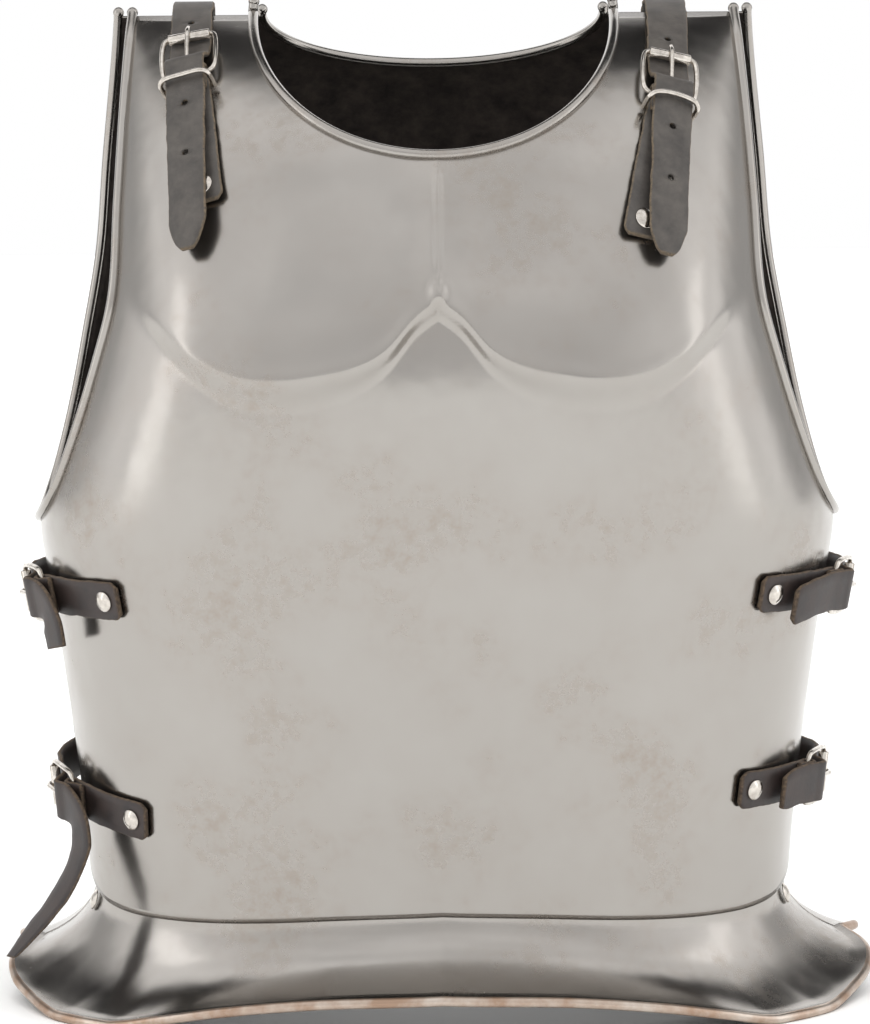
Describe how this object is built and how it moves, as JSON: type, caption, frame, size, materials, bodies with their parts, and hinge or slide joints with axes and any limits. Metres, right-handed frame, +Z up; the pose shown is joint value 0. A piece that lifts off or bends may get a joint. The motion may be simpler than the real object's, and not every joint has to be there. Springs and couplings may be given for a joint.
{
  "type": "steel cuirass, breastplate with backplate",
  "caption": "Polished steel cuirass with embossed chest, rolled edges, flared waist flanges and buckled leather straps, standing on its rims.",
  "frame": {"origin": "middle of the footprint, on the surface it stands on", "axes": "+Z up, -Y the way the chest faces, +X to the right of someone looking at the chest"},
  "size_m": [0.4352, 0.3044, 0.4989],
  "materials": {
    "steel": "polished sheet steel, slightly uneven",
    "leather": "dark brown, smooth grain, raw edges",
    "nickel": "nickel-plated wire and rivets"
  },
  "bodies": {
    "root": {"shoulder_strap_left_chape_rivet": "nickel", "shoulder_strap_left_chape": "leather", "shoulder_strap_left_rivet": "nickel", "shoulder_strap_left": "leather", "shoulder_strap_left_buckle": "nickel", "shoulder_strap_left_roller": "nickel", "shoulder_strap_left_prong": "nickel", "shoulder_strap_left_keeper": "nickel", "shoulder_strap_right_chape_rivet": "nickel", "shoulder_strap_right_chape": "leather", "shoulder_strap_right_rivet": "nickel", "shoulder_strap_right": "leather", "shoulder_strap_right_buckle": "nickel", "shoulder_strap_right_roller": "nickel", "shoulder_strap_right_prong": "nickel", "shoulder_strap_right_keeper": "nickel", "side_strap_upper_left_chape_rivet": "nickel", "side_strap_upper_left_chape": "leather", "side_strap_upper_left_rivet": "nickel", "side_strap_upper_left": "leather", "side_strap_upper_left_buckle": "nickel", "side_strap_upper_left_roller": "nickel", "side_strap_upper_left_prong": "nickel", "side_strap_lower_left_chape_rivet": "nickel", "side_strap_lower_left_chape": "leather", "side_strap_lower_left_rivet": "nickel", "side_strap_lower_left": "leather", "side_strap_lower_left_buckle": "nickel", "side_strap_lower_left_roller": "nickel", "side_strap_lower_left_prong": "nickel", "side_strap_upper_right_chape_rivet": "nickel", "side_strap_upper_right_chape": "leather", "side_strap_upper_right_rivet": "nickel", "side_strap_upper_right": "leather", "side_strap_upper_right_buckle": "nickel", "side_strap_upper_right_roller": "nickel", "side_strap_upper_right_prong": "nickel", "side_strap_lower_right_chape_rivet": "nickel", "side_strap_lower_right_chape": "leather", "side_strap_lower_right_rivet": "nickel", "side_strap_lower_right": "leather", "side_strap_lower_right_buckle": "nickel", "side_strap_lower_right_roller": "nickel", "side_strap_lower_right_prong": "nickel", "front_flange_rivet_left": "nickel", "front_flange_rivet_right": "nickel", "front_flange": "steel", "back_flange_rivet_left": "nickel", "back_flange_rivet_right": "nickel", "back_flange": "steel", "breastplate": "steel", "backplate": "steel"}
  },
  "joints": []
}
